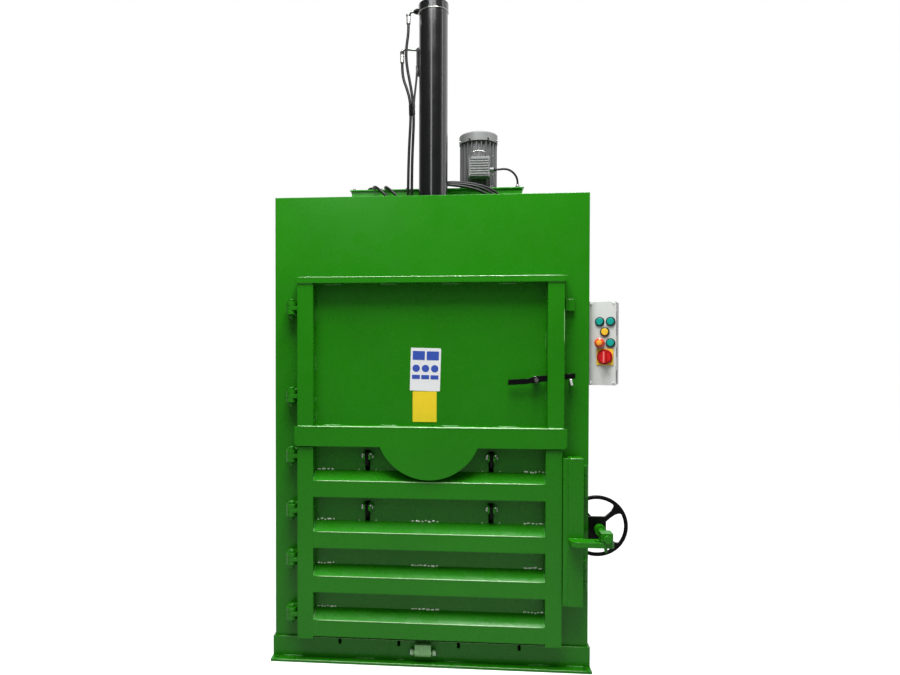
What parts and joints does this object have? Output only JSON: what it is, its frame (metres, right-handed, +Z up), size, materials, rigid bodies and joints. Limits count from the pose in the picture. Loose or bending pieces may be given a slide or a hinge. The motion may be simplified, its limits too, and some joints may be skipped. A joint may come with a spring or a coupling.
{
  "type": "recycling baler",
  "caption": "Upright press that squeezes waste card and film into a strapped bale behind two hinged front doors.",
  "frame": {"origin": "middle of the base plate's underside, on the press cylinder's axis", "axes": "+X to the operator's right, +Y to the machine's rear, +Z up"},
  "size_m": [1.452, 1.102, 2.886],
  "materials": {
    "green_paint": "satin enamel",
    "black_paint": "gloss enamel",
    "grey_paint": "satin enamel",
    "pale_paint": "textured powder coat",
    "steel": "machined",
    "chrome": "ground and plated",
    "rubber": "matt",
    "black_plastic": "moulded",
    "teal_plastic": "moulded",
    "yellow_plastic": "moulded",
    "orange_plastic": "moulded",
    "red_plastic": "moulded"
  },
  "bodies": {
    "frame": {"base_plate": "green_paint", "base_frame": "green_paint", "chamber_floor": "green_paint", "front_sheet": "green_paint", "side_wall_left": "green_paint", "side_wall_right": "green_paint", "rear_wall": "green_paint", "head_frame": "green_paint", "hinge_ears": "green_paint", "hinge_pins": "steel", "latch_keeper": "green_paint", "lock_hinges": "green_paint", "nut_bracket": "black_paint", "screw_nut": "green_paint", "cylinder_flange": "green_paint", "cylinder_barrel": "black_paint", "rod_gland": "steel", "cylinder_cap": "black_paint", "ejector_bracket": "green_paint", "oil_tank": "green_paint", "filler_cap": "black_plastic", "motor_body": "grey_paint", "fan_cowl": "grey_paint", "terminal_box": "grey_paint", "valve_block": "steel", "hose_fittings": "steel", "upper_hose": "rubber", "lower_hose": "rubber", "motor_cable": "rubber", "control_box": "pale_paint", "control_cover": "pale_paint"},
    "lower_door": {"lower_door_sheet": "green_paint", "lower_door_posts": "green_paint", "lower_door_ribs": "green_paint", "claw_lugs": "green_paint"},
    "upper_door": {"upper_door_sheet": "green_paint", "upper_door_posts": "green_paint", "upper_door_rail": "green_paint", "upper_door_apron": "green_paint", "latch_bolt": "steel"},
    "latch": {"latch_lever": "black_paint"},
    "claw_1": {"bale_claw_1": "black_paint"},
    "claw_2": {"bale_claw_2": "black_paint"},
    "claw_3": {"bale_claw_3": "black_paint"},
    "claw_4": {"bale_claw_4": "black_paint"},
    "lock": {"lock_bar": "green_paint"},
    "clevis": {"screw_clevis": "black_paint"},
    "screw": {"lock_screw": "steel", "handwheel": "black_paint"},
    "press": {"press_platen": "green_paint", "piston_rod": "chrome", "press_piston": "steel"},
    "ejector": {"bale_ejector": "green_paint"},
    "rotor": {"motor_fan": "black_plastic"},
    "teal_1": {"teal_button_1": "teal_plastic"},
    "teal_2": {"teal_button_2": "teal_plastic"},
    "teal_3": {"teal_button_3": "teal_plastic"},
    "yellow": {"yellow_button": "yellow_plastic"},
    "stop": {"stop_button": "orange_plastic"},
    "switch": {"main_switch": "red_plastic"}
  },
  "joints": [
    {"name": "lower_door_swing", "type": "hinge", "parent": "frame", "child": "lower_door", "pos_m": [-0.56, -0.486, 0.5], "axis": [0, 0, -1], "range_deg": [0, 90]},
    {"name": "upper_door_swing", "type": "hinge", "parent": "lower_door", "child": "upper_door", "pos_m": [-0.56, -0.486, 1.25], "axis": [0, 0, -1], "range_deg": [0, 75]},
    {"name": "latch_turn", "type": "hinge", "parent": "upper_door", "child": "latch", "pos_m": [0.424, -0.486, 1.159], "axis": [0, -1, 0], "range_deg": [0, 16]},
    {"name": "handwheel_spin", "type": "hinge", "parent": "clevis", "child": "screw", "pos_m": [0.682, -0.45, 0.559], "axis": [0, 1, 0], "range_deg": [0, 939.6]},
    {"name": "clevis_slide", "type": "slide", "parent": "frame", "child": "clevis", "axis": [0, 1, 0], "range_m": [0, 0.02089]},
    {"name": "lock_bar_swing", "type": "hinge", "parent": "frame", "child": "lock", "pos_m": [0.618, -0.476, 0.565], "axis": [0, 0, 1], "range_deg": [0, 24.01]},
    {"name": "platen_slide", "type": "slide", "parent": "frame", "child": "press", "axis": [0, 0, -1], "range_m": [0, 0.64]},
    {"name": "ejector_tilt", "type": "hinge", "parent": "frame", "child": "ejector", "pos_m": [-0.022, -0.48, 0.052], "axis": [1, 0, 0], "range_deg": [0, 30]},
    {"name": "motor_spin", "type": "hinge", "parent": "frame", "child": "rotor", "pos_m": [0.218, 0.25, 2.317], "axis": [0, 0, 1], "continuous": true},
    {"name": "teal_button_1_press", "type": "slide", "parent": "frame", "child": "teal_1", "axis": [0.342, 0.9397, 0], "range_m": [0, 0.004], "stiffness_N_per_m": 400},
    {"name": "teal_button_2_press", "type": "slide", "parent": "frame", "child": "teal_2", "axis": [0.342, 0.9397, 0], "range_m": [0, 0.004], "stiffness_N_per_m": 400},
    {"name": "teal_button_3_press", "type": "slide", "parent": "frame", "child": "teal_3", "axis": [0.342, 0.9397, 0], "range_m": [0, 0.004], "stiffness_N_per_m": 400},
    {"name": "yellow_button_press", "type": "slide", "parent": "frame", "child": "yellow", "axis": [0.342, 0.9397, 0], "range_m": [0, 0.004], "stiffness_N_per_m": 400},
    {"name": "stop_button_press", "type": "slide", "parent": "frame", "child": "stop", "axis": [0.342, 0.9397, 0], "range_m": [0, 0.005], "stiffness_N_per_m": 400},
    {"name": "main_switch_turn", "type": "hinge", "parent": "frame", "child": "switch", "pos_m": [0.69877, -0.44065, 1.249], "axis": [0.342, 0.9397, 0], "range_deg": [0, 90]},
    {"name": "claw_1_swing", "type": "hinge", "parent": "lower_door", "child": "claw_1", "pos_m": [-0.25, -0.48, 0.845], "axis": [-1, 0, 0], "range_deg": [0, 35], "stiffness_Nm_per_rad": 3, "springref_deg": -8.59},
    {"name": "claw_2_swing", "type": "hinge", "parent": "lower_door", "child": "claw_2", "pos_m": [0.25, -0.48, 0.845], "axis": [-1, 0, 0], "range_deg": [0, 35], "stiffness_Nm_per_rad": 3, "springref_deg": -8.59},
    {"name": "claw_3_swing", "type": "hinge", "parent": "lower_door", "child": "claw_3", "pos_m": [-0.25, -0.48, 0.637], "axis": [-1, 0, 0], "range_deg": [0, 35], "stiffness_Nm_per_rad": 3, "springref_deg": -8.59},
    {"name": "claw_4_swing", "type": "hinge", "parent": "lower_door", "child": "claw_4", "pos_m": [0.25, -0.48, 0.637], "axis": [-1, 0, 0], "range_deg": [0, 35], "stiffness_Nm_per_rad": 3, "springref_deg": -8.59}
  ],
  "couplings": [
    {"joint": "clevis_slide", "follows": "handwheel_spin", "m_per_rad": 0.0012732},
    {"joint": "lock_bar_swing", "follows": "handwheel_spin", "ratio": 0.025543}
  ]
}
